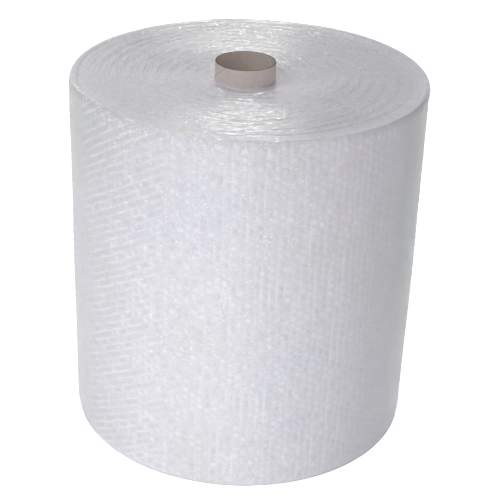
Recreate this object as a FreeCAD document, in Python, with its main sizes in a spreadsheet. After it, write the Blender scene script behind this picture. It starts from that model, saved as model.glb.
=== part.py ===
import FreeCAD, Part
import math
import os

import Sketcher
from FreeCAD import Vector

# A roll of bubble wrap that stands on its end, in millimetres.
# The origin is the middle of the roll on the floor, +Z is up and -Y is the front.
# It has two pieces: the paper core, and the film wound on it. The film's turns lie tight on each
# other, so they are one solid, with the spiral of turns on both ends, the loose end at the back
# and the columns of bubbles round the outside.

# Driving sizes: the cell's alias, its value, and what it measures.
SIZES = [
    ("film_width", 500, "width of the film, which is how tall the wound film stands"),
    ("roll_diameter", 480, "across the last turn, halfway along it, over the bubbles"),
    ("core_bore", 76, "inside diameter of the paper core"),
    ("core_wall", 2.5, "thickness of the paper core"),
    ("core_length", 517, "length of the paper core, which stands out of the film at the top"),
    ("core_edge", 0.4, "chamfer on the core's cut rims"),
    ("core_shift", 5, "how far the core sits off the middle, towards -X, in the loose winding"),
    ("film_thickness", 3.6, "film and bubbles together, which is the step at the loose end"),
    ("tail_angle", 104, "where the loose end lies, in degrees from +X towards +Y"),
    ("column_spacing", 9.85, "from one column of bubbles to the next, round the roll"),
    ("crease_width", 3, "width of the crease in the film between two columns of bubbles"),
    ("crease_depth", 0.9, "depth of that crease"),
    ("turn_pitch", 17, "from ridge to ridge on the ends, where a few turns stand together"),
    ("groove_width", 3, "width of the steep side of the groove outside a ridge"),
    ("groove_depth", 3.5, "drop from a ridge to the turn outside it"),
    ("rim_land", 4, "least width of the flat edge outside the last ridge"),
    ("dish_depth", 6, "how much lower the upper end lies beside the core than at the rim"),
    ("dish_width", 95, "how far out from the core that dish reaches"),
]

# How far a cutting solid reaches past the solid that it cuts.
OVERRUN = 10


def make_sheet(doc):
    """The spreadsheet, with one aliased cell for each driving size."""
    sheet = doc.addObject("Spreadsheet::Sheet", "sizes")
    for row, (alias, value, meaning) in enumerate(SIZES, start=1):
        sheet.set(f"A{row}", alias)
        sheet.set(f"B{row}", str(value))
        sheet.set(f"C{row}", meaning)
        sheet.setAlias(f"B{row}", alias)
    doc.recompute()
    return sheet


def make_core(doc):
    """The paper core: a ring sketch padded to the core's length, with its cut rims eased."""
    body = doc.addObject("PartDesign::Body", "core_tube")
    floor_plane = next(plane for plane in body.Origin.OriginFeatures if plane.Role == "XY_Plane")
    ring = body.newObject("Sketcher::SketchObject", "core_ring")
    ring.AttachmentSupport = [(floor_plane, "")]
    ring.MapMode = "FlatFace"
    radii = {
        "inside": "sizes.core_bore / 2",
        "outside": "sizes.core_bore / 2 + sizes.core_wall",
    }
    for name, radius in radii.items():
        circle = ring.addGeometry(Part.Circle(Vector(0, 0, 0), Vector(0, 0, 1), 1), False)
        ring.addConstraint(Sketcher.Constraint("Coincident", circle, 3, -1, 1))
        number = ring.addConstraint(Sketcher.Constraint("Radius", circle, 1))
        ring.renameConstraint(number, name)
        ring.setExpression(f"Constraints.{name}", radius)
    wall = body.newObject("PartDesign::Pad", "core_pad")
    wall.Profile = ring
    wall.setExpression("Length", "sizes.core_length")
    doc.recompute()
    edges = enumerate(wall.Shape.Edges, start=1)
    rims = [f"Edge{number}" for number, edge in edges if edge.isClosed()]
    easing = body.newObject("PartDesign::Chamfer", "core_rims")
    easing.Base = (wall, rims)
    easing.setExpression("Size", "sizes.core_edge")
    body.setExpression("Placement.Base.x", "-sizes.core_shift")
    return body


def turn_section(doc, sheet, name, side):
    """The film's section for one half of the roll, with a saw of turns on both ends.

    Each tooth slopes gently up to its ridge and drops steeply outside it. Both halves have the
    same saw, half a pitch apart, about centres that are half a pitch apart, so every ridge of one
    half runs on into the other half, and together they make one spiral. The section stands in
    line with the loose end, where the outermost groove ends.
    """
    core_radius = sheet.core_bore / 2 + sheet.core_wall
    half_pitch = sheet.turn_pitch / 2
    outside = sheet.roll_diameter / 2 + sheet.core_shift + OVERRUN
    last_ridge = sheet.roll_diameter / 2 - sheet.core_shift - sheet.rim_land - half_pitch * 1.5
    ridge_count = int((last_ridge - core_radius) / sheet.turn_pitch) + 2
    first_ridge = core_radius - sheet.turn_pitch + (half_pitch if side < 0 else 0)
    angle = math.radians(sheet.tail_angle)
    outwards = Vector(math.cos(angle), math.sin(angle), 0)
    center = Vector(-sheet.core_shift, 0, 0) - outwards * (side * half_pitch / 2)

    def corner(radius, height):
        """A corner of the section, so far out from this half's centre."""
        return center + outwards * radius + Vector(0, 0, height)

    upper, lower = [], []
    for number in range(ridge_count):
        ridge = first_ridge + number * sheet.turn_pitch
        groove = ridge + sheet.groove_width
        run = max(ridge - core_radius, 0)
        height = sheet.film_width - sheet.dish_depth * max(1 - run / sheet.dish_width, 0)
        upper += [corner(ridge, height), corner(groove, height - sheet.groove_depth)]
        lower += [corner(ridge, 0), corner(groove, sheet.groove_depth)]
    upper[-1] = corner(outside, sheet.film_width)
    lower[-1] = corner(outside, 0)
    corners = lower + upper[::-1]
    section = doc.addObject("Part::Feature", name)
    section.Shape = Part.Face(Part.makePolygon(corners + corners[:1]))
    return section


def half_turns(doc, sheet, name, side):
    """Half of the wound film: its section turned through half a circle, about its own centre."""
    half = doc.addObject("Part::Revolution", name)
    half.Source = turn_section(doc, sheet, f"{name}_section", side)
    half.Axis = Vector(0, 0, side)
    half.Angle = 180
    half.Solid = True
    offset = f"({-side}) * sizes.turn_pitch / 4"
    half.setExpression("Base.x", f"{offset} * cos(sizes.tail_angle) - sizes.core_shift")
    half.setExpression("Base.y", f"{offset} * sin(sizes.tail_angle)")
    return half


def roll_outline(doc, sheet):
    """The roll from above: the last turn grows by one thickness and ends in a step.

    Each column of bubbles holds the film flat, and the film is creased between two columns.
    """
    outside = sheet.roll_diameter / 2
    count = round(math.tau * outside / sheet.column_spacing)
    crease_share = sheet.crease_width / sheet.column_spacing

    def outline_point(column, depth):
        """A point of the last turn, so many columns on from the loose end."""
        radius = outside + sheet.film_thickness * (column / count - 0.5) - depth
        angle = math.radians(sheet.tail_angle) + math.tau * column / count
        return Vector(radius * math.cos(angle), radius * math.sin(angle), -OVERRUN)

    points = []
    for column in range(count):
        points.append(outline_point(column, sheet.crease_depth))
        points.append(outline_point(column + crease_share / 2, 0))
        points.append(outline_point(column + 1 - crease_share / 2, 0))
    points.append(outline_point(count, sheet.crease_depth))
    outline = doc.addObject("Part::Feature", "roll_outline")
    outline.Shape = Part.makePolygon(points + points[:1])
    return outline


def make_film(doc, sheet):
    """The wound film: its two halves joined, cut to the roll's outline and bored for the core."""
    turns = doc.addObject("Part::Fuse", "wound_turns")
    turns.Base = half_turns(doc, sheet, "outgoing_turns", 1)
    turns.Tool = half_turns(doc, sheet, "closing_turns", -1)
    body = doc.addObject("Part::Extrusion", "roll_body")
    body.Base = roll_outline(doc, sheet)
    body.DirMode = "Custom"
    body.Dir = Vector(0, 0, 1)
    body.Solid = True
    body.setExpression("LengthFwd", f"sizes.film_width + {2 * OVERRUN}")
    trimmed = doc.addObject("Part::Common", "trimmed_turns")
    trimmed.Base = turns
    trimmed.Tool = body
    bore = doc.addObject("Part::Cylinder", "core_seat")
    bore.setExpression("Radius", "sizes.core_bore / 2 + sizes.core_wall")
    bore.setExpression("Height", f"sizes.film_width + {2 * OVERRUN}")
    bore.setExpression("Placement.Base.x", "-sizes.core_shift")
    bore.setExpression("Placement.Base.z", f"{-OVERRUN}")
    film = doc.addObject("Part::Cut", "bubble_film")
    film.Base = trimmed
    film.Tool = bore
    return film


def check_document(doc, pieces):
    """Stops the script if an object failed, or if a piece is empty, broken or not one solid."""
    failed = [item.Name for item in doc.Objects if {"Invalid", "Error"} & set(item.State)]
    if failed:
        raise SystemExit(f"these objects failed: {failed}")
    for piece in pieces:
        shape = piece.Shape
        if shape.isNull() or not shape.isValid() or len(shape.Solids) != 1:
            raise SystemExit(f"{piece.Label} isn't one valid solid")


def main():
    doc = FreeCAD.newDocument("bubble_wrap_roll")
    sheet = make_sheet(doc)
    pieces = [make_core(doc), make_film(doc, sheet)]
    doc.recompute()
    check_document(doc, pieces)
    os.makedirs("parts", exist_ok=True)
    for piece in pieces:
        piece.Shape.exportStep(f"parts/{piece.Label}.step")
        print(f"{piece.Label}: {piece.Shape.Volume / 1000:.1f} cm3, {len(piece.Shape.Faces)} faces")


main()
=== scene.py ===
import math

import bpy
import numpy as np
from mathutils import Matrix, Vector


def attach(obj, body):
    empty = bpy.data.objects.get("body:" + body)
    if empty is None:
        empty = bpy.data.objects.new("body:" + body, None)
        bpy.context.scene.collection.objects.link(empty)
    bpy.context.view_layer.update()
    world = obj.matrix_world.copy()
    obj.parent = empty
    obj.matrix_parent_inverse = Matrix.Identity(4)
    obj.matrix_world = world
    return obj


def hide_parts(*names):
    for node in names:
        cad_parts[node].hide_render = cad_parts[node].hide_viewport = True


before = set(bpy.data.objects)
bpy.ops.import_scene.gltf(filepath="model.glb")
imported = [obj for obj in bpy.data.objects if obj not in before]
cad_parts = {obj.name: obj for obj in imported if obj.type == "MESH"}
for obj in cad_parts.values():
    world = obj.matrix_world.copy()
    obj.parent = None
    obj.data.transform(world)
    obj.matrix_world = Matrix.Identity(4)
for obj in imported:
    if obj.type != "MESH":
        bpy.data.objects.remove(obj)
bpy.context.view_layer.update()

# A roll of bubble wrap that stands on its end, in metres. The origin is the middle of the roll on
# the floor, +Z is up and -Y is the front, as in the CAD.

MM = 0.001

# The wound film. Its last turn grows outwards by one thickness and ends in a step at the back,
# where the end of the film lifts off over the last share of the turn. The wall stops a margin short
# of both ends, where the rolled edges take over.
FILM_WIDTH = 500 * MM
ROLL_RADIUS = 240 * MM
FILM_THICKNESS = 3.6 * MM
CIRCUMFERENCE = math.tau * ROLL_RADIUS
TAIL_ANGLE = math.radians(104)
TAIL_LIFT = 1.2 * MM
TAIL_SHARE = 0.01
WALL_MARGIN = 1 * MM
WALL_SCALE = 1 - 2 * WALL_MARGIN / FILM_WIDTH

# The bubbles: close packed, in columns that stand up the roll, every other one half a bubble higher.
# The rings are shares of the bubble's radius, and the profile has each ring's height and the film's.
COLUMNS = 153
ROWS = 44
ROW_PITCH = FILM_WIDTH / (ROWS + 0.5)
COLUMN_PITCH = CIRCUMFERENCE / COLUMNS
BUBBLE_RADIUS = 4.6 * MM
BUBBLE_HEIGHT = 0.6 * MM
SPOKES = 8
BUBBLE_RINGS = np.array([0.45, 0.8, 1.02])
BUBBLE_PROFILE = np.array([0.86, 0.42, 0.05, 0.0])

# The paper core, which stands a little off the middle.
CORE_INSIDE = 38 * MM
CORE_OUTSIDE = 40.5 * MM
CORE_LENGTH = 517 * MM
CORE_SHIFT = 5 * MM

# The turns on the two ends: the lines across each turn, as shares of its pitch, which line is its
# flat film and which the tops of its bubbles, and how deep they and the dish round the core lie.
TURNS = 55
TURN_PITCH = (ROLL_RADIUS - FILM_THICKNESS / 2 - CORE_OUTSIDE) / TURNS
LINES_ACROSS = np.array([0.0, 0.25, 0.5, 0.75])
FLAT_LINE = 0
PILLOW_LINE = 2
PILLOW_DEPTH = 0.6 * MM
PILLOW_PUFF = 0.25 * MM
SLOPE_DEPTH = 0.35 * MM
EDGE_DEPTH = 0.5 * MM
DISH_DEPTH = 6 * MM
DISH_WIDTH = 95 * MM

# Below the rim the relief fades over a width, up to a land beside it, and the turns within a wider
# band are drawn up by a share of what the outermost turn stands up.
RIM_LAND = 4 * MM
FADE_WIDTH = 14 * MM
DRAWN_BAND = 24 * MM
DRAWN_WIDTH = 22 * MM
DRAWN_SHARE = 0.75

# A few turns stand together: from group to group, which share of that is steep, how deep a full
# groove is, and how strong the grooves are: on average, at the least and at the most.
GROUP_PITCH = 17 * MM
GROUP_STEEP = 6 / 17
GROUP_DEPTH = 3.5 * MM
GROUP_STRENGTH = 0.36
GROUP_RANGE = (0.08, 0.9)

# Where the outermost turn stands up above the others: middle and width in degrees, and height.
RIM_LIFTS = [(214, 20, 6.5 * MM), (350, 14, 2 * MM), (40, 25, 2 * MM)]

# Where a painted highlight lies along that turn's edge: middle and width in degrees, and how strongly.
RIM_GLINTS = [
    (204, 9, 1.0),
    (217, 5, 0.8),
    (233, 3, 1.0),
    (247, 6, 0.7),
    (264, 7, 0.7),
    (283, 6, 0.5),
]

# The edges of the roll are rounded over this height, and drawn in by this much at the very end.
EDGE_ROUND = 9 * MM
EDGE_INSET = 2.2 * MM

# Where the edge of the film curls outwards a little: middle and width in degrees, and how far.
LIP_FLARE = (350, 12, 1.6 * MM)

# Where the last turn is pulled tight, so that its bubbles are pressed flat: middle and width in
# degrees, and by which share.
TAUT_FLANKS = [(332, 34, 0.7), (203, 20, 0.5)]

# Where the turns on the ends lie evenly: middle and width in degrees, and by which share.
EVEN_TURNS = (340, 65, 0.55)

chance = np.random.default_rng(41)


def make_waves(count, around, along, amount):
    """Slow waves for an uneven face, as rows of waves round it, waves along it, phase and height."""
    return np.column_stack(
        [
            chance.integers(1, around + 1, count),
            chance.uniform(-along, along, count),
            chance.uniform(0, math.tau, count),
            chance.uniform(0.4, 1, count) * amount,
        ]
    )


def add_waves(waves, angle, share):
    """The waves' sum at an angle round the roll and at a share, 0 to 1, of the way along."""
    return sum(
        height * np.sin(around * angle + along * math.tau * share + phase)
        for around, along, phase, height in waves
    )


WALL_WAVES = make_waves(14, 9, 2.5, 0.2 * MM)
END_WAVES = make_waves(12, 7, 2.0, 0.3 * MM)
GROUP_WAVES = make_waves(6, 4, 1.5, 0.2)
GROUP_SHIFTS = make_waves(7, 6, 3.0, 0.07)

# Each bubble of the wall: its height as a share, its lean two ways as slopes, and a random tone
# that paints a highlight on its dome when high, and more of the painted shade when low.
BUBBLE_SWELL = chance.uniform(0.3, 1.5, (COLUMNS, ROWS))
BUBBLE_LEAN = chance.normal(0, 0.045, (2, COLUMNS, ROWS))
BUBBLE_HIGHLIGHT_TONE = chance.uniform(-0.6, 1.0, (COLUMNS, ROWS))

# Each bubble on the ends, in its order along the film: its height and lean. Each turn's height.
CELL_COUNT = 5400
CELL_HEIGHT = chance.normal(0, 0.26 * MM, CELL_COUNT)
CELL_LEAN = chance.normal(0, 0.5 * MM, CELL_COUNT)
TURN_HEIGHT = chance.normal(0, 0.16 * MM, TURNS + 4)


def ease(share):
    """0 up to a share of 0, 1 from a share of 1, and a smooth S between."""
    share = np.clip(share, 0, 1)
    return share * share * (3 - 2 * share)


def bell(angle, middle, width, height):
    """A bell curve of a height round the roll, about a middle and of a width in degrees."""
    away = (np.degrees(angle) - middle + 180) % 360 - 180
    return height * np.exp(-((away / width) ** 2))


def rim_lift(angle):
    """How far the outermost turn stands up at an angle: a few bell curves round the rim."""
    return sum(bell(angle, *lift) for lift in RIM_LIFTS)


def merge_points(points, faces):
    """Points on each other, to a thousandth of a millimetre, become one, so that seams close."""
    keys = np.round(points / 1e-6).astype(np.int64)
    _, first, same = np.unique(keys, axis=0, return_index=True, return_inverse=True)
    return points[first], same.reshape(-1)[faces], first


def add_piece(name, points, faces, wrap, shares, material, node):
    """Puts arrays of points and four-cornered faces into a smooth piece on the root body.

    wrap has each point's place on the unrolled film or paper, in metres, for the piece's UV map.
    shares has one number a point, for the material.
    """
    corners = wrap[faces].reshape(-1, 2)
    points, faces, first = merge_points(points, faces)
    mesh = bpy.data.meshes.new(name)
    mesh.from_pydata(points, [], faces)
    mesh.uv_layers.new(name="wrap").data.foreach_set("uv", corners.ravel())
    share = mesh.attributes.new("share", "FLOAT", "POINT")
    share.data.foreach_set("value", shares[first].astype(np.float32))
    mesh.polygons.foreach_set("use_smooth", np.ones(len(faces), dtype=bool))
    mesh.materials.append(material)
    mesh.update()
    piece = bpy.data.objects.new(name, mesh)
    bpy.context.scene.collection.objects.link(piece)
    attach(piece, "root")
    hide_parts(node)


def grid_faces(rows, columns):
    """Faces of a grid of points, a row at a time, that turn from the columns to the rows."""
    corner = np.arange(rows - 1)[:, None] * columns + np.arange(columns - 1)
    return np.stack([corner, corner + 1, corner + columns + 1, corner + columns], -1).reshape(-1, 4)


def on_last_turn(share, depth, height):
    """Points of the outermost turn, a share of the way round from the loose end.

    The radius grows with the share, less the depth under the bubbles' tops, plus the slow waves.
    The end of the film lifts off a little, both edges are rounded inwards, and the upper one curls
    outwards and is drawn up where the rim stands up.
    """
    angle = TAIL_ANGLE + math.tau * share
    radius = ROLL_RADIUS + FILM_THICKNESS * (share - 0.5) - depth
    radius = radius + add_waves(WALL_WAVES, angle, height / FILM_WIDTH)
    radius = radius + TAIL_LIFT * ease((share - 1 + TAIL_SHARE) / TAIL_SHARE)
    from_edge = np.minimum(height, FILM_WIDTH - height) / EDGE_ROUND
    radius = radius - EDGE_INSET * np.clip(1 - from_edge, 0, 1) ** 2
    radius = radius + bell(angle, *LIP_FLARE) * ease((height / FILM_WIDTH - 0.955) / 0.045)
    drawn = height + rim_lift(angle) * ease((height / FILM_WIDTH - 0.88) / 0.12)
    level = WALL_MARGIN + drawn * WALL_SCALE
    return np.stack(np.broadcast_arrays(radius * np.cos(angle), radius * np.sin(angle), level), -1)


def film_wall(name, first, count, material):
    """Part of the outermost turn, as bubbles in cells.

    A cell has a middle, rings of eight spokes that fall in a dome to the film, and a border on the
    film. Each dome has its own height and lean, less on the taut flanks. Half cells of plain film
    close the two ends.
    """
    column = np.arange(first, first + count)[:, None, None, None]
    row = np.arange(ROWS)[None, :, None, None]
    spoke = np.arange(SPOKES) * math.tau / SPOKES
    across = np.outer(BUBBLE_RINGS * BUBBLE_RADIUS, np.cos(spoke))
    upward = np.outer(BUBBLE_RINGS * BUBBLE_RADIUS, np.sin(spoke))
    across = np.vstack([across, np.round(np.cos(spoke)) * COLUMN_PITCH / 2])
    upward = np.vstack([upward, np.round(np.sin(spoke)) * ROW_PITCH / 2])
    middle_share = (column + 0.5) / COLUMNS + 0 * row
    middle_height = (row + 0.5 + column % 2 / 2) * ROW_PITCH
    middle_angle = TAIL_ANGLE + math.tau * middle_share
    kept = 1 - sum(bell(middle_angle, *flank) for flank in TAUT_FLANKS)
    swell = BUBBLE_SWELL[first : first + count, :, None, None] * kept
    lean_across, lean_up = BUBBLE_LEAN[:, first : first + count, :, None, None] * kept
    dome = BUBBLE_PROFILE[:, None] * swell
    tilt = (lean_across * across + lean_up * upward) * (BUBBLE_PROFILE[:, None] > 0)
    share = (column + 0.5 + across / COLUMN_PITCH) / COLUMNS
    height = middle_height + upward
    rings = on_last_turn(share, BUBBLE_HEIGHT * (1 - dome) - tilt, height)
    middles = on_last_turn(middle_share, BUBBLE_HEIGHT * (1 - swell), middle_height)
    cells = count * ROWS
    points = np.concatenate([middles.reshape(cells, 1, 3), rings.reshape(cells, -1, 3)], 1)
    ring_wrap = np.stack([share * CIRCUMFERENCE + 0 * height, height], -1).reshape(cells, -1, 2)
    middle_wrap = np.stack([middle_share * CIRCUMFERENCE, middle_height], -1).reshape(cells, 1, 2)
    wrap = np.concatenate([middle_wrap, ring_wrap], 1)
    # Each bubble's random tone goes into the share: a high one paints a highlight on the dome, a low
    # one paints more shade
    tone = BUBBLE_HIGHLIGHT_TONE[first : first + count, :, None, None] * kept
    ring_tone = np.broadcast_to(BUBBLE_PROFILE[:, None] * tone, height.shape).reshape(cells, -1)
    shares = 0.5 + 0.5 * np.concatenate([tone.reshape(cells, 1), ring_tone], 1)
    ring_start = 1 + np.arange(len(BUBBLE_RINGS))[:, None] * SPOKES
    corner = ring_start + np.arange(SPOKES)
    beside = ring_start + (np.arange(SPOKES) + 1) % SPOKES
    bands = np.stack([corner, corner + SPOKES, beside + SPOKES, beside], -1).reshape(-1, 4)
    even = np.arange(0, SPOKES, 2)
    caps = np.stack([0 * even, 1 + even, 2 + even, 1 + (even + 2) % SPOKES], -1)
    cell_faces = np.vstack([caps, bands])
    size = points.shape[1]
    faces = (np.arange(cells)[:, None, None] * size + cell_faces).reshape(-1, 4)

    # The half cells: three points across and two up, above the even columns and below the odd ones
    edge_column = np.arange(first, first + count)[:, None, None]
    edge_across = np.array([0, 0.5, 1])[None, None, :]
    edge_up = np.array([0, 0.5])[None, :, None]
    edge_share = (edge_column + edge_across) / COLUMNS
    edge_height = (np.where(edge_column % 2, 0, ROWS) + edge_up) * ROW_PITCH
    edge_points = on_last_turn(edge_share, BUBBLE_HEIGHT, edge_height).reshape(-1, 3)
    edge_wrap = np.stack(np.broadcast_arrays(edge_share * CIRCUMFERENCE, edge_height), -1)
    edge_size = edge_up.size * edge_across.size
    edge_faces = np.arange(count)[:, None, None] * edge_size + grid_faces(2, 3)
    edge_faces = edge_faces.reshape(-1, 4)
    faces = np.vstack([faces, edge_faces + cells * size])
    points = np.vstack([points.reshape(-1, 3), edge_points])
    wrap = np.vstack([wrap.reshape(-1, 2), edge_wrap.reshape(-1, 2)])
    shares = np.concatenate([shares.ravel(), np.full(len(edge_points), 0.5)])
    add_piece(name, points, faces, wrap, shares, material, "bubble_film")


def film_rim(name, upper, material):
    """The rolled edge of the outermost turn at one end: a profile carried round the roll.

    It starts on the film, turns inwards in a wide round, and sinks between the turns beside it.
    Where the outermost turn stands up, the points further in follow by a smaller share.
    """
    share = np.linspace(0, 1, COLUMNS * 2 + 1)[:, None]
    angle = TAIL_ANGLE + math.tau * share
    depth = np.array([BUBBLE_HEIGHT / MM, 0.85, 1.5, 2.6, 4.0, 5.6, 7.6, 9.6]) * MM
    rise = np.array([0, 0.4, 0.72, 0.94, 1.0, 0.8, 0.1, -1.6]) * MM
    keeps = np.array([1, 1, 1, 1, 0.98, 0.94, 0.86, 0.74])
    uneven = chance.normal(0, 0.16 * MM, len(share))[:, None] * np.array([0, 0, 1, 1, 1, 1, 1, 0])
    start = on_last_turn(share, 0 * depth[:1], np.full_like(share, FILM_WIDTH if upper else 0.0))
    base = np.hypot(start[..., 0], start[..., 1])
    radius = base - depth + uneven
    if upper:
        level = start[..., 2] - rim_lift(angle) * WALL_SCALE * (1 - keeps) + rise
    else:
        level = np.maximum(start[..., 2] - rise, 0)
    points = np.stack([radius * np.cos(angle), radius * np.sin(angle), level], -1).reshape(-1, 3)
    along = np.broadcast_to(share * CIRCUMFERENCE, radius.shape)
    wrap = np.stack([along, np.broadcast_to(level, radius.shape)], -1).reshape(-1, 2)
    # A painted highlight along the rim: where the share here passes 0.85 the film turns white
    glinting = sum(bell(angle, *glint) for glint in RIM_GLINTS)
    glinting = glinting * chance.uniform(0.5, 1.6, share.shape)
    shares = 0.5 + glinting * np.array([0, 0.8, 1, 0.9, 0.3, 0, 0, 0]) * upper
    faces = grid_faces(len(share), len(depth))
    if upper:
        faces = faces[:, ::-1]
    add_piece(name, points, faces, wrap, shares.ravel(), material, "bubble_film")


def film_tail(name, material):
    """The cut loose end: a profile that turns from the film's face down to the turn below."""
    level = np.linspace(0, FILM_WIDTH, ROWS * 2 + 2)[:, None]
    depth = np.array([BUBBLE_HEIGHT / MM, 0.8, 1.8, 3.2, 4.0, 6.0]) * MM
    past = np.array([0, 0.5, 0.8, 0.7, 0.4, 0.2]) * MM / CIRCUMFERENCE
    points = on_last_turn(1 + 0 * past, depth, level)
    turned = math.tau * past
    x, y = points[..., 0].copy(), points[..., 1].copy()
    points[..., 0] = x * np.cos(turned) - y * np.sin(turned)
    points[..., 1] = x * np.sin(turned) + y * np.cos(turned)
    wrap = np.stack(np.broadcast_arrays(CIRCUMFERENCE + depth, level), -1).reshape(-1, 2)
    points = points.reshape(-1, 3)
    faces = grid_faces(len(level), len(depth))
    shares = np.full(len(points), 0.3)
    add_piece(name, points, faces, wrap, shares, material, "bubble_film")


def film_end(name, first_turn, last_turn, last_lines, samples, upper, material):
    """Turns of one end of the wound film: a grid of places round the roll and lines across it.

    A line is a spiral, so it runs on into the line one turn further out. Each turn has the edge of
    its flat film as a ridge, and beside it the row of bubbles, as pillows between deep creases.
    The depth below the end's plane is that relief, plus the groove of the group of turns, plus the
    dish round the core. The relief and the grooves fade towards the rim and where turns lie evenly.
    """
    across_count = len(LINES_ACROSS)
    share = np.linspace(0, 1, samples + 1)[:, None]
    line = np.arange(first_turn * across_count, last_turn * across_count + last_lines + 1)[None, :]
    turn, place = line // across_count, line % across_count
    across = LINES_ACROSS[place]
    out = np.where(turn == 0, across * np.maximum(share, 0.01), turn - 1 + across + share)
    angle = TAIL_ANGLE + math.tau * share
    radius = CORE_OUTSIDE - 0.4 * MM + TURN_PITCH * out
    along = turn + share
    arc = math.tau * (CORE_OUTSIDE * along + TURN_PITCH * along**2 / 2)
    cell = arc / COLUMN_PITCH
    number = np.floor(cell).astype(int) % CELL_COUNT
    within = cell % 1
    puff = np.sin(math.pi * within) ** 2
    own = CELL_HEIGHT[number] + CELL_LEAN[number] * (within - 0.5)
    edge = chance.normal(0, 0.1 * MM, (samples + 1, line.shape[1]))
    edge[-1, :-across_count] = edge[0, across_count:]
    relief = np.select(
        [place == FLAT_LINE, place == PILLOW_LINE],
        [0 * puff, PILLOW_DEPTH - PILLOW_PUFF * puff + own],
        SLOPE_DEPTH + own / 2,
    )
    near = TURN_HEIGHT[turn] * (1 - share) + TURN_HEIGHT[turn + 1] * share
    spread = (radius - CORE_OUTSIDE) / (ROLL_RADIUS - CORE_OUTSIDE)
    # A saw across the groups: from a groove it climbs gently to the ridge, then drops steeply
    turned = TURN_PITCH * along / GROUP_PITCH - share + add_waves(GROUP_SHIFTS, angle, spread)
    tooth = (turned + 0.25 - GROUP_STEEP) % 1
    group = np.where(
        tooth < 1 - GROUP_STEEP,
        1 - tooth / (1 - GROUP_STEEP),
        (tooth - 1 + GROUP_STEEP) / GROUP_STEEP,
    )
    strength = np.clip(GROUP_STRENGTH + add_waves(GROUP_WAVES, angle, spread), *GROUP_RANGE)
    settled = ease((ROLL_RADIUS - RIM_LAND - radius) / FADE_WIDTH)
    kept = 1 - bell(angle, *EVEN_TURNS)
    depth = EDGE_DEPTH + (relief + edge + near) * (0.4 + 0.6 * settled) * kept
    depth = depth + GROUP_DEPTH * strength * group * settled * kept
    if upper:
        dish = DISH_DEPTH * ease(1 - (radius - CORE_OUTSIDE) / DISH_WIDTH)
        outer = ease((radius - ROLL_RADIUS + DRAWN_BAND) / DRAWN_WIDTH)
        level = FILM_WIDTH - depth - dish + add_waves(END_WAVES, angle, spread)
        level = level + rim_lift(angle) * outer * DRAWN_SHARE
    else:
        level = np.maximum(depth, 0)
    middle = -CORE_SHIFT * (1 - spread)
    wavy = radius + np.where(place == FLAT_LINE, 0.22 * MM * np.cos(math.tau * cell), 0)
    x = wavy * np.cos(angle) + middle
    y = wavy * np.sin(angle)
    points = np.stack(np.broadcast_arrays(x, y, level), -1).reshape(-1, 3)
    wrap = np.stack(np.broadcast_arrays(arc, radius), -1).reshape(-1, 2)
    # The shares paint shade on the end: fully in the creases between the pillows, half on the slopes,
    # hardly on the film's edge, and a faint painted highlight on the pillows' tops
    shares = np.select([place == FLAT_LINE, place == PILLOW_LINE], [0 * puff + 0.85, puff], 0.45)
    faces = grid_faces(samples + 1, line.shape[1])
    if not upper:
        faces = faces[:, ::-1]
    add_piece(name, points, faces, wrap, shares.ravel(), material, "bubble_film")


def paper_core(material):
    """The core: a closed profile of its wall, turned once round the tube's axis.

    The wall is a little out of round, its two cut rims are rounded, and the upper one is slightly
    ragged.
    """
    lower, middle = np.linspace(0.6, 30, 8), np.linspace(60, 450, 12)
    climb = np.concatenate([lower, middle, np.linspace(480, 516.4, 16)]) * MM
    rim_depth = np.array([0.0, 0.15, 0.5, 1.25, 2.0, 2.35, 2.5]) * MM
    rim_rise = np.array([-0.6, -0.2, 0.0, 0.0, 0.0, -0.2, -0.6]) * MM
    outside = np.column_stack([np.full(len(climb), CORE_OUTSIDE), climb])
    top = np.column_stack([CORE_OUTSIDE - rim_depth, CORE_LENGTH + rim_rise])[1:-1]
    inside = np.column_stack([np.full(len(climb), CORE_INSIDE), climb[::-1]])
    bottom = np.column_stack([CORE_INSIDE + rim_depth, -rim_rise])[1:-1]
    profile = np.vstack([outside, top, inside, bottom])
    samples = 160
    share = np.arange(samples + 1)[:, None] / samples
    angle = math.tau * share
    ragged = np.sin(angle * 7 + 1) * 0.05 * MM + np.sin(angle * 19) * 0.04 * MM
    near_rim = ease((profile[:, 1] - CORE_LENGTH + 7 * MM) / (6 * MM))
    radius = profile[:, 0] * (1 + 0.003 * np.cos(2 * angle + 0.6))
    level = profile[:, 1] - (np.abs(ragged) + 0.1 * MM) * near_rim
    x = radius * np.cos(angle) - CORE_SHIFT
    y = radius * np.sin(angle)
    points = np.stack(np.broadcast_arrays(x, y, level), -1)
    points = np.concatenate([points, points[:, :1]], 1)
    run = np.append(profile[:, 1], profile[0, 1])
    wrap = np.stack(np.broadcast_arrays(share * math.tau * CORE_OUTSIDE, run), -1).reshape(-1, 2)
    inner = np.append(profile[:, 0] < CORE_INSIDE + 1 * MM, False).astype(float)
    shares = np.tile(inner, samples + 1)
    faces = grid_faces(samples + 1, len(inner))[:, ::-1]
    points = points.reshape(-1, 3)
    add_piece("paper_core", points, faces, wrap, shares, material, "core_tube")


def srgb(code):
    """A colour as a screen shows it, in hex, as the linear colour that shaders take."""
    parts = [int(code[place : place + 2], 16) / 255 for place in (1, 3, 5)]
    linear = [part / 12.92 if part <= 0.04045 else ((part + 0.055) / 1.055) ** 2.4 for part in parts]
    return (*linear, 1.0)


def add_node(tree, kind, settings=None, links=None):
    """Adds a node, sets its inputs or properties, and links its inputs to the sockets given."""
    node = tree.nodes.new(kind)
    for name, value in (settings or {}).items():
        if isinstance(name, int) or name in node.inputs:
            node.inputs[name].default_value = value
        else:
            setattr(node, name, value)
    for name, socket in (links or {}).items():
        tree.links.new(socket, node.inputs[name])
    return node


def new_material(name):
    """A new material, with its node tree and its Principled BSDF."""
    material = bpy.data.materials.new(name)
    material.use_nodes = True
    return material, material.node_tree, material.node_tree.nodes["Principled BSDF"]


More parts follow.
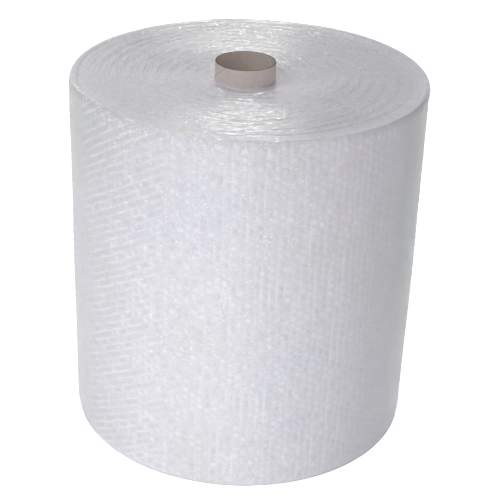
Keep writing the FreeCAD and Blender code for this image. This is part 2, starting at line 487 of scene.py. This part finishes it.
def scaled_vector(tree, vector, scale):
    """A place stretched along its axes, for a pattern that is longer one way."""
    return add_node(tree, "ShaderNodeMapping", {"Scale": scale}, {"Vector": vector}).outputs[0]


def ramp(tree, value, low, high, bottom=0.0, top=1.0):
    """A number taken from low to high onto bottom to top, and held there outside."""
    settings = {"From Min": low, "From Max": high, "To Min": bottom, "To Max": top}
    return add_node(tree, "ShaderNodeMapRange", settings, {"Value": value}).outputs["Result"]


def combine(tree, operation, first, second):
    """Two numbers put together by one operation; either may be a socket or a plain number."""
    settings, links = {"operation": operation}, {}
    for place, value in enumerate((first, second)):
        (settings if isinstance(value, float) else links)[place] = value
    return add_node(tree, "ShaderNodeMath", settings, links).outputs[0]


def band(tree, value, rise, fall):
    """1 where a number lies between two edges, and 0 beyond them; each edge is a ramp's numbers."""
    return combine(tree, "MULTIPLY", ramp(tree, value, *rise), ramp(tree, value, *fall))


def blend_colours(tree, share, first, second):
    """The first colour, mixed with the second one by a share; a colour is a socket or a code."""
    settings, links = {"data_type": "RGBA"}, {0: share}
    for place, value in ((6, first), (7, second)):
        if isinstance(value, str):
            settings[place] = srgb(value)
        else:
            links[place] = value
    return add_node(tree, "ShaderNodeMix", settings, links).outputs[2]


def noise_at(tree, vector, scale, detail=2.0):
    """Smooth noise, 0 to 1, whose patches are about 1 / scale across."""
    settings = {"Scale": scale, "Detail": detail}
    return add_node(tree, "ShaderNodeTexNoise", settings, {"Vector": vector}).outputs["Fac"]


def thin_lines(tree, count, width):
    """Lines at every whole count, of a width in counts: 1 on the line, 0 between them."""
    away = add_node(tree, "ShaderNodeMath", {"operation": "PINGPONG", 1: 0.5}, {0: count})
    return ramp(tree, away.outputs[0], 0.0, width, 1.0, 0.0)


def film_base(tree, place, raised, painted_shade):
    """The film's milky colour, with painted highlights in white on bubbles and along the rim, and
    painted shade between the bubbles.

    Slow tints, 200 mm across, show where the layers lie tighter or looser.
    """
    cloud = noise_at(tree, place, 5.0, 3.0)
    tinted = blend_colours(tree, ramp(tree, cloud, 0.36, 0.5), "#E3E5E5", raised)
    tinted = blend_colours(tree, ramp(tree, cloud, 0.54, 0.68, 0.0, 0.8), tinted, "#E2E5F0")
    share = add_node(tree, "ShaderNodeAttribute", {"attribute_name": "share"}).outputs["Fac"]
    # Painted shade: where the share is low, between the bubbles and in creases, the shaded colour is
    # mixed in
    milky = blend_colours(tree, ramp(tree, share, 0.0, 0.9, 1.0, 0.0), tinted, painted_shade)
    # Painted highlight: where the share is high, on bubble domes and along the rim, the film turns
    # white
    return blend_colours(tree, ramp(tree, share, 0.85, 1.4), milky, "#FFFFFF")


def film_shine(tree, shader, place, crinkles, roughness, crinkle):
    """Soft film shines unevenly: crinkles tilt it, and patches 20 mm across are rubbed dull."""
    settings = {"Strength": crinkle, "Distance": 0.25 * MM}
    bump = add_node(tree, "ShaderNodeBump", settings, {"Height": crinkles})
    dull = ramp(tree, noise_at(tree, place, 55.0), 0.35, 0.65, roughness - 0.03, roughness + 0.05)
    tree.links.new(dull, shader.inputs["Roughness"])
    tree.links.new(bump.outputs["Normal"], shader.inputs["Normal"])
    shader.inputs["IOR"].default_value = 1.51
    shader.inputs["Specular IOR Level"].default_value = 0.3
    shader.inputs["Coat Roughness"].default_value = 0.08


def film_specks(tree, vector, scale, rarity, cluster):
    """Small round specks, 1 where one is: a share of the cells of a Voronoi pattern has one.

    A higher rarity leaves fewer cells with a speck, and the cluster says where specks may be.
    """
    cell = add_node(tree, "ShaderNodeTexVoronoi", {"Scale": scale}, {"Vector": vector}).outputs
    tone = add_node(tree, "ShaderNodeSeparateXYZ", links={0: cell["Color"]}).outputs[0]
    speck = combine(tree, "MULTIPLY", ramp(tree, cell["Distance"], 0.34, 0.2), cluster)
    return combine(tree, "MULTIPLY", speck, ramp(tree, tone, rarity, rarity + 0.2))


def bubble_film(name):
    """Low density polyethylene film with air bubbles, formed hot on a drum.

    Many clear layers on each other look milky white. Painted highlights lie in thin lines along the
    rows of bubbles, in upright lines between the columns, in blotches and in short dashes that the
    crinkles also raise, and painted shade lies on the flanks, in blotches and between the bubbles.
    """
    material, tree, shader = new_material(name)
    place = add_node(tree, "ShaderNodeTexCoord").outputs["Object"]
    wrap = add_node(tree, "ShaderNodeUVMap", {"uv_map": "wrap"}).outputs["UV"]
    across, upward, _ = add_node(tree, "ShaderNodeSeparateXYZ", links={0: wrap}).outputs
    side, _, height = add_node(tree, "ShaderNodeSeparateXYZ", links={0: place}).outputs
    column = combine(tree, "DIVIDE", across, COLUMN_PITCH)
    waver = ramp(tree, noise_at(tree, place, 45.0, 3.0), 0.3, 0.7, -0.14, 0.14)
    row = combine(tree, "ADD", combine(tree, "DIVIDE", upward, ROW_PITCH), waver)
    half_column = combine(tree, "MULTIPLY", column, 0.5)
    # The second colour is the painted shade between the bubbles
    colour = film_base(tree, place, "#ECE9F0", "#D1CFD8")
    # Painted shade: the right flank is greyer, most towards its upper edge, and so is the left flank
    # near its upper edge
    flank_shade = combine(tree, "MULTIPLY", ramp(tree, side, 0.19, 0.235), ramp(tree, height, -0.1, 0.45))
    colour = blend_colours(tree, flank_shade, colour, "#B4BCBE")
    left_side = ramp(tree, side, -0.08, -0.2, 0.0, 0.6)
    flank_shade = combine(tree, "MULTIPLY", left_side, ramp(tree, height, 0.36, 0.49))
    colour = blend_colours(tree, flank_shade, colour, "#C6CAC9")

    # Painted highlights in thin lines along the slanted rows of bubbles, 60 mm long: they rise to the
    # right on the left flank, and fall, fainter, on the right one
    rising = combine(tree, "ADD", combine(tree, "SUBTRACT", row, half_column), 0.25)
    falling = combine(tree, "ADD", combine(tree, "ADD", row, half_column), 0.75)
    breaks = noise_at(tree, scaled_vector(tree, wrap, (30.0, 75.0, 1.0)), 1.0)
    left = band(tree, side, (-0.215, -0.195), (-0.07, -0.14))
    right = band(tree, side, (0.1, 0.15, 0.0, 0.3), (0.21, 0.19))
    rising = combine(tree, "MULTIPLY", thin_lines(tree, rising, 0.26), left)
    falling = combine(tree, "MULTIPLY", thin_lines(tree, falling, 0.2), right)
    rows = combine(tree, "ADD", rising, falling)
    rows = combine(tree, "MULTIPLY", rows, ramp(tree, breaks, 0.4, 0.6, 0.25, 0.9))
    colour = blend_colours(tree, rows, colour, "#F3F1F7")

    # Painted highlights in upright lines between the columns, 80 mm long, in the middle
    stretch = noise_at(tree, scaled_vector(tree, wrap, (90.0, 12.0, 1.0)), 1.0)
    middle = band(tree, side, (-0.08, -0.01, 0.0, 0.65), (0.19, 0.12))
    upright = combine(tree, "MULTIPLY", thin_lines(tree, column, 0.3), ramp(tree, stretch, 0.46, 0.64))
    upright = combine(tree, "MULTIPLY", upright, middle)
    colour = blend_colours(tree, upright, colour, "#F1F0F6")

    # Painted highlights and shade in blotches 4 to 6 mm across, a little wider than tall, in the
    # middle
    blotch = noise_at(tree, scaled_vector(tree, place, (200.0, 200.0, 330.0)), 1.0, 3.0)
    painted_blotches = band(tree, side, (-0.16, -0.08), (0.17, 0.06))
    patches = ramp(tree, noise_at(tree, place, 14.0), 0.4, 0.6, 0.3, 1.0)
    painted_blotches = combine(tree, "MULTIPLY", painted_blotches, patches)
    pale = combine(tree, "MULTIPLY", ramp(tree, blotch, 0.54, 0.7, 0.0, 0.6), painted_blotches)
    colour = blend_colours(tree, pale, colour, "#F6F5FA")
    grey = combine(tree, "MULTIPLY", ramp(tree, blotch, 0.44, 0.3, 0.0, 0.5), painted_blotches)
    colour = blend_colours(tree, grey, colour, "#CBC9D2")

    # Painted sparkles: bright dashes 2 to 3 mm long and 1 mm tall, in loose clusters, thicker along
    # the painted row lines and along the upper edge
    cluster = ramp(tree, noise_at(tree, place, 70.0, 3.0), 0.44, 0.58)
    lively = band(tree, side, (-0.2, -0.16), (0.14, 0.05, 0.2, 1.0))
    lively = combine(tree, "MULTIPLY", lively, ramp(tree, height, 0.05, 0.35, 0.35, 1.0))
    cluster = combine(tree, "MULTIPLY", combine(tree, "ADD", cluster, rows), lively)
    crest = combine(tree, "MULTIPLY", ramp(tree, height, 0.46, 0.495), ramp(tree, side, 0.12, 0.02))
    cluster = combine(tree, "MAXIMUM", cluster, crest)
    fine = film_specks(tree, scaled_vector(tree, place, (230.0, 230.0, 480.0)), 1.0, 0.4, cluster)
    broad = film_specks(tree, scaled_vector(tree, place, (150.0, 150.0, 270.0)), 1.0, 0.6, cluster)
    sparkles = combine(tree, "MAXIMUM", fine, broad)
    colour = blend_colours(tree, sparkles, colour, "#FCFBFF")

    # Crinkles in the soft film, about 2 mm apart, and the dashes standing out of them
    crinkles = combine(tree, "ADD", noise_at(tree, place, 420.0, 3.0), sparkles)
    film_shine(tree, shader, place, crinkles, 0.36, 0.3)
    shader.inputs["Coat Weight"].default_value = 0.15
    tree.links.new(colour, shader.inputs["Base Color"])
    return material


def film_edges(name):
    """The cut and folded edges of the same film, turn upon turn, pressed flat on each other.

    It is the film's milky colour, with painted shade in the creases between the turns and towards
    the right side, and painted glints as short bright dashes, thickest in front of and behind the
    core.
    """
    material, tree, shader = new_material(name)
    place = add_node(tree, "ShaderNodeTexCoord").outputs["Object"]
    wrap = add_node(tree, "ShaderNodeUVMap", {"uv_map": "wrap"}).outputs["UV"]
    side, depth, _ = add_node(tree, "ShaderNodeSeparateXYZ", links={0: place}).outputs
    _, out, _ = add_node(tree, "ShaderNodeSeparateXYZ", links={0: wrap}).outputs
    # The second colour is the painted shade in the creases between the turns
    colour = film_base(tree, place, "#DDDBE0", "#D3D1D7")

    # Painted shade: the end is darker towards the right side
    loose = ramp(tree, side, -0.02, 0.22, 0.0, 0.9)
    colour = blend_colours(tree, loose, colour, "#C9C6CC")
    # The outermost turns are nearly as pale as the wall that they run into, and white where the rim's
    # painted highlight lies
    colour = blend_colours(tree, ramp(tree, out, 0.2, 0.235, 0.0, 0.7), colour, "#E2E0E7")
    share = add_node(tree, "ShaderNodeAttribute", {"attribute_name": "share"}).outputs["Fac"]
    colour = blend_colours(tree, ramp(tree, share, 0.85, 1.4), colour, "#FFFFFF")

    # Painted glints in front of the core and behind it: paler, and with far more dashes
    glint_area = band(tree, side, (-0.16, -0.08), (0.09, 0.03))
    behind = ramp(tree, depth, 0.04, 0.1)
    in_front = ramp(tree, depth, -0.04, -0.2, 0.2, 1.0)
    glint_area = combine(tree, "MULTIPLY", glint_area, combine(tree, "MAXIMUM", behind, in_front))
    glint_sheen = combine(tree, "MAXIMUM", behind, combine(tree, "MULTIPLY", in_front, 0.8))
    glint_sheen = combine(tree, "MULTIPLY", combine(tree, "MULTIPLY", glint_area, glint_sheen), 0.7)
    colour = blend_colours(tree, glint_sheen, colour, "#F7F6F9")

    # Painted glints: dashes 6 mm long and 2 mm wide along the turns, in loose clusters
    dash = noise_at(tree, scaled_vector(tree, wrap, (160.0, 500.0, 1.0)), 1.0, 1.0)
    cluster = ramp(tree, noise_at(tree, place, 30.0, 3.0), 0.42, 0.56, 0.0, 0.4)
    cluster = combine(tree, "MAXIMUM", cluster, glint_area)
    dash = combine(tree, "ADD", dash, combine(tree, "MULTIPLY", glint_area, 0.05))
    dashes = combine(tree, "MULTIPLY", ramp(tree, dash, 0.57, 0.63), cluster)
    dashes = combine(tree, "MAXIMUM", dashes, film_specks(tree, place, 260.0, 0.5, cluster))
    colour = blend_colours(tree, combine(tree, "MULTIPLY", dashes, 0.95), colour, "#FFFEFF")

    # Crinkles about 2 mm apart. The dashes shine most, and the turns on the right side least
    crinkles = combine(tree, "ADD", noise_at(tree, place, 420.0, 3.0), dashes)
    film_shine(tree, shader, place, crinkles, 0.28, 0.45)
    tight = ramp(tree, side, 0.12, 0.04, 0.2)
    coat = combine(tree, "MULTIPLY", ramp(tree, dashes, 0.0, 1.0, 0.28, 1.0), tight)
    tree.links.new(coat, shader.inputs["Coat Weight"])
    tree.links.new(colour, shader.inputs["Base Color"])
    return material


def wound_paper(name):
    """Grey chipboard, wound in a spiral from glued plies.

    It is matt and slightly pink where it was smoothed, with fibres, a darker cut rim and a seam.
    """
    material, tree, shader = new_material(name)
    place = add_node(tree, "ShaderNodeTexCoord").outputs["Object"]
    wrap = add_node(tree, "ShaderNodeUVMap", {"uv_map": "wrap"}).outputs["UV"]
    _, _, height = add_node(tree, "ShaderNodeSeparateXYZ", links={0: place}).outputs
    inner = add_node(tree, "ShaderNodeAttribute", {"attribute_name": "share"}).outputs["Fac"]
    wall = blend_colours(tree, inner, "#E8DCD8", "#DCD0C8")

    # Fibres are 1 to 2 mm long, drawn 3 mm apart so that they show
    fibres = noise_at(tree, place, 330.0, 4.0)
    wall = blend_colours(tree, ramp(tree, fibres, 0.35, 0.7, 0.0, 0.3), wall, "#B3A59E")

    # The seam of the outermost ply climbs 1 mm for each 1.4 mm round, and comes by every 100 mm
    across, upward, _ = add_node(tree, "ShaderNodeSeparateXYZ", links={0: wrap}).outputs
    climb = combine(tree, "SUBTRACT", upward, combine(tree, "DIVIDE", across, 1.4))
    seam = thin_lines(tree, combine(tree, "DIVIDE", climb, 0.1), 0.009)
    wall = blend_colours(tree, combine(tree, "MULTIPLY", seam, 0.6), wall, "#7A6C66")

    # The cut rim is darker
    cut = ramp(tree, height, CORE_LENGTH - 0.6 * MM, CORE_LENGTH - 0.25 * MM)
    colour = blend_colours(tree, cut, wall, "#766A64")
    settings = {"Strength": 0.4, "Distance": 0.15 * MM}
    bump = add_node(tree, "ShaderNodeBump", settings, {"Height": fibres})
    tree.links.new(colour, shader.inputs["Base Color"])
    tree.links.new(bump.outputs["Normal"], shader.inputs["Normal"])
    shader.inputs["Roughness"].default_value = 0.85
    shader.inputs["Specular IOR Level"].default_value = 0.25
    return material


def background_rays(tree):
    """1 for what the camera sees straight, in gloss or through a clear thing, and 0 for light."""
    rays = add_node(tree, "ShaderNodeLightPath").outputs
    seen = combine(tree, "MAXIMUM", rays["Is Camera Ray"], rays["Is Glossy Ray"])
    return combine(tree, "MAXIMUM", seen, rays["Is Transmission Ray"])


def studio_floor():
    """A white floor that shows as white to the camera and in gloss, and keeps a faint shadow."""
    size = 8.0
    corners = [(-size, -size, 0), (size, -size, 0), (size, size, 0), (-size, size, 0)]
    mesh = bpy.data.meshes.new("studio_floor")
    mesh.from_pydata(corners, [], [(0, 1, 2, 3)])
    material, tree, shader = new_material("White painted floor")
    shader.inputs["Base Color"].default_value = srgb("#E8E8E8")
    shader.inputs["Roughness"].default_value = 0.9
    glow = combine(tree, "MULTIPLY", background_rays(tree), 0.86)
    tree.links.new(glow, shader.inputs["Emission Strength"])
    shader.inputs["Emission Color"].default_value = (1, 1, 1, 1)
    mesh.materials.append(material)
    floor = bpy.data.objects.new("studio_floor", mesh)
    bpy.context.scene.collection.objects.link(floor)


def studio_world(strength):
    """A plain pale room, which the camera and gloss see as white."""
    world = bpy.data.worlds.new("studio")
    world.use_nodes = True
    tree = world.node_tree
    background = tree.nodes["Background"]
    background.inputs["Color"].default_value = (1, 1, 1, 1)
    level = ramp(tree, background_rays(tree), 0.0, 1.0, strength, 1.0)
    tree.links.new(level, background.inputs["Strength"])
    bpy.context.scene.world = world


def area_light(name, position, target, width, height, power, shines=True):
    """A soft box of a width and height, at a position, that faces a target.

    One that doesn't shine only fills, and isn't seen in the film's gloss.
    """
    light = bpy.data.lights.new(name, "AREA")
    light.shape = "RECTANGLE"
    light.size = width
    light.size_y = height
    light.energy = power
    lamp = bpy.data.objects.new(name, light)
    lamp.location = position
    lamp.rotation_euler = (Vector(target) - Vector(position)).to_track_quat("-Z", "Y").to_euler()
    lamp.visible_camera = False
    lamp.visible_glossy = shines
    bpy.context.scene.collection.objects.link(lamp)


def product_camera():
    """The photograph's view: from the front, 27 degrees above the middle, and rolled a little."""
    distance = 1.8137
    elevation = math.radians(27.03)
    roll = math.radians(2.007)
    back = Vector((0, -math.cos(elevation), math.sin(elevation)))
    level = Vector((1, 0, 0))
    upright = back.cross(level)
    right = math.cos(roll) * level + math.sin(roll) * upright
    up = back.cross(right)
    lens = bpy.data.cameras.new("product_camera")
    lens.sensor_width = 36
    lens.lens = 91.94
    lens.shift_x = 0.01349
    lens.shift_y = -0.01983
    lens.clip_start = 0.05
    lens.clip_end = 50
    camera = bpy.data.objects.new("product_camera", lens)
    axes = Matrix((right, up, back)).transposed().to_4x4()
    camera.matrix_world = Matrix.Translation(Vector((0, 0, 0.25)) + distance * back) @ axes
    bpy.context.scene.collection.objects.link(camera)
    bpy.context.scene.camera = camera


product_camera()
studio_floor()
studio_world(0.15)
area_light("front_softbox", (-0.3, -1.2, 1.8), (0, 0, 0.4), 0.8, 0.8, 6.2)
area_light("left_softbox", (-1.2, -0.5, 1.7), (0, 0, 0.4), 0.8, 0.8, 6.8)
area_light("right_softbox", (1.85, -1.65, 0.8), (0, 0, 0.25), 1.2, 1.2, 7.3)
area_light("low_front_softbox", (-0.24, -1.05, 0.16), (0, 0, 0.07), 0.7, 0.28, 1.0)
area_light("low_front_lamp", (-0.24, -1.05, 0.15), (0, 0, 0.07), 0.5, 0.25, 1.35, False)
area_light("floor_lamp", (-0.26, -0.78, 0.06), (0, 0, 0.02), 0.3, 0.1, 0.4, False)
area_light("low_left_lamp", (-0.9, -1.0, 0.15), (0, 0, 0.1), 0.6, 0.2, 0.8, False)
area_light("low_back_lamp", (0.3, 2.6, 0.45), (0, 0, 0.25), 1.4, 0.8, 14, False)
area_light("back_window", (-0.03, 1.6, 2.4), (0, 0, 0.5), 0.5, 0.5, 12.5)

wall_film = bubble_film("Polyethylene bubble film")
end_film = film_edges("Polyethylene film edges")
core_paper = wound_paper("Spiral wound chipboard")

film_wall("film_wall_left", 0, 34, wall_film)
film_wall("film_wall_front", 34, 74, wall_film)
film_wall("film_wall_right", 108, 45, wall_film)
film_rim("upper_rim", True, end_film)
film_rim("lower_rim", False, end_film)
film_tail("loose_end", wall_film)
film_end("upper_inner_turns", 0, 28, 0, 300, True, end_film)
film_end("upper_outer_turns", 28, TURNS, 2, 620, True, end_film)
film_end("lower_turns", 0, TURNS, 2, 300, False, end_film)
paper_core(core_paper)

bpy.context.scene.view_settings.view_transform = "Standard"
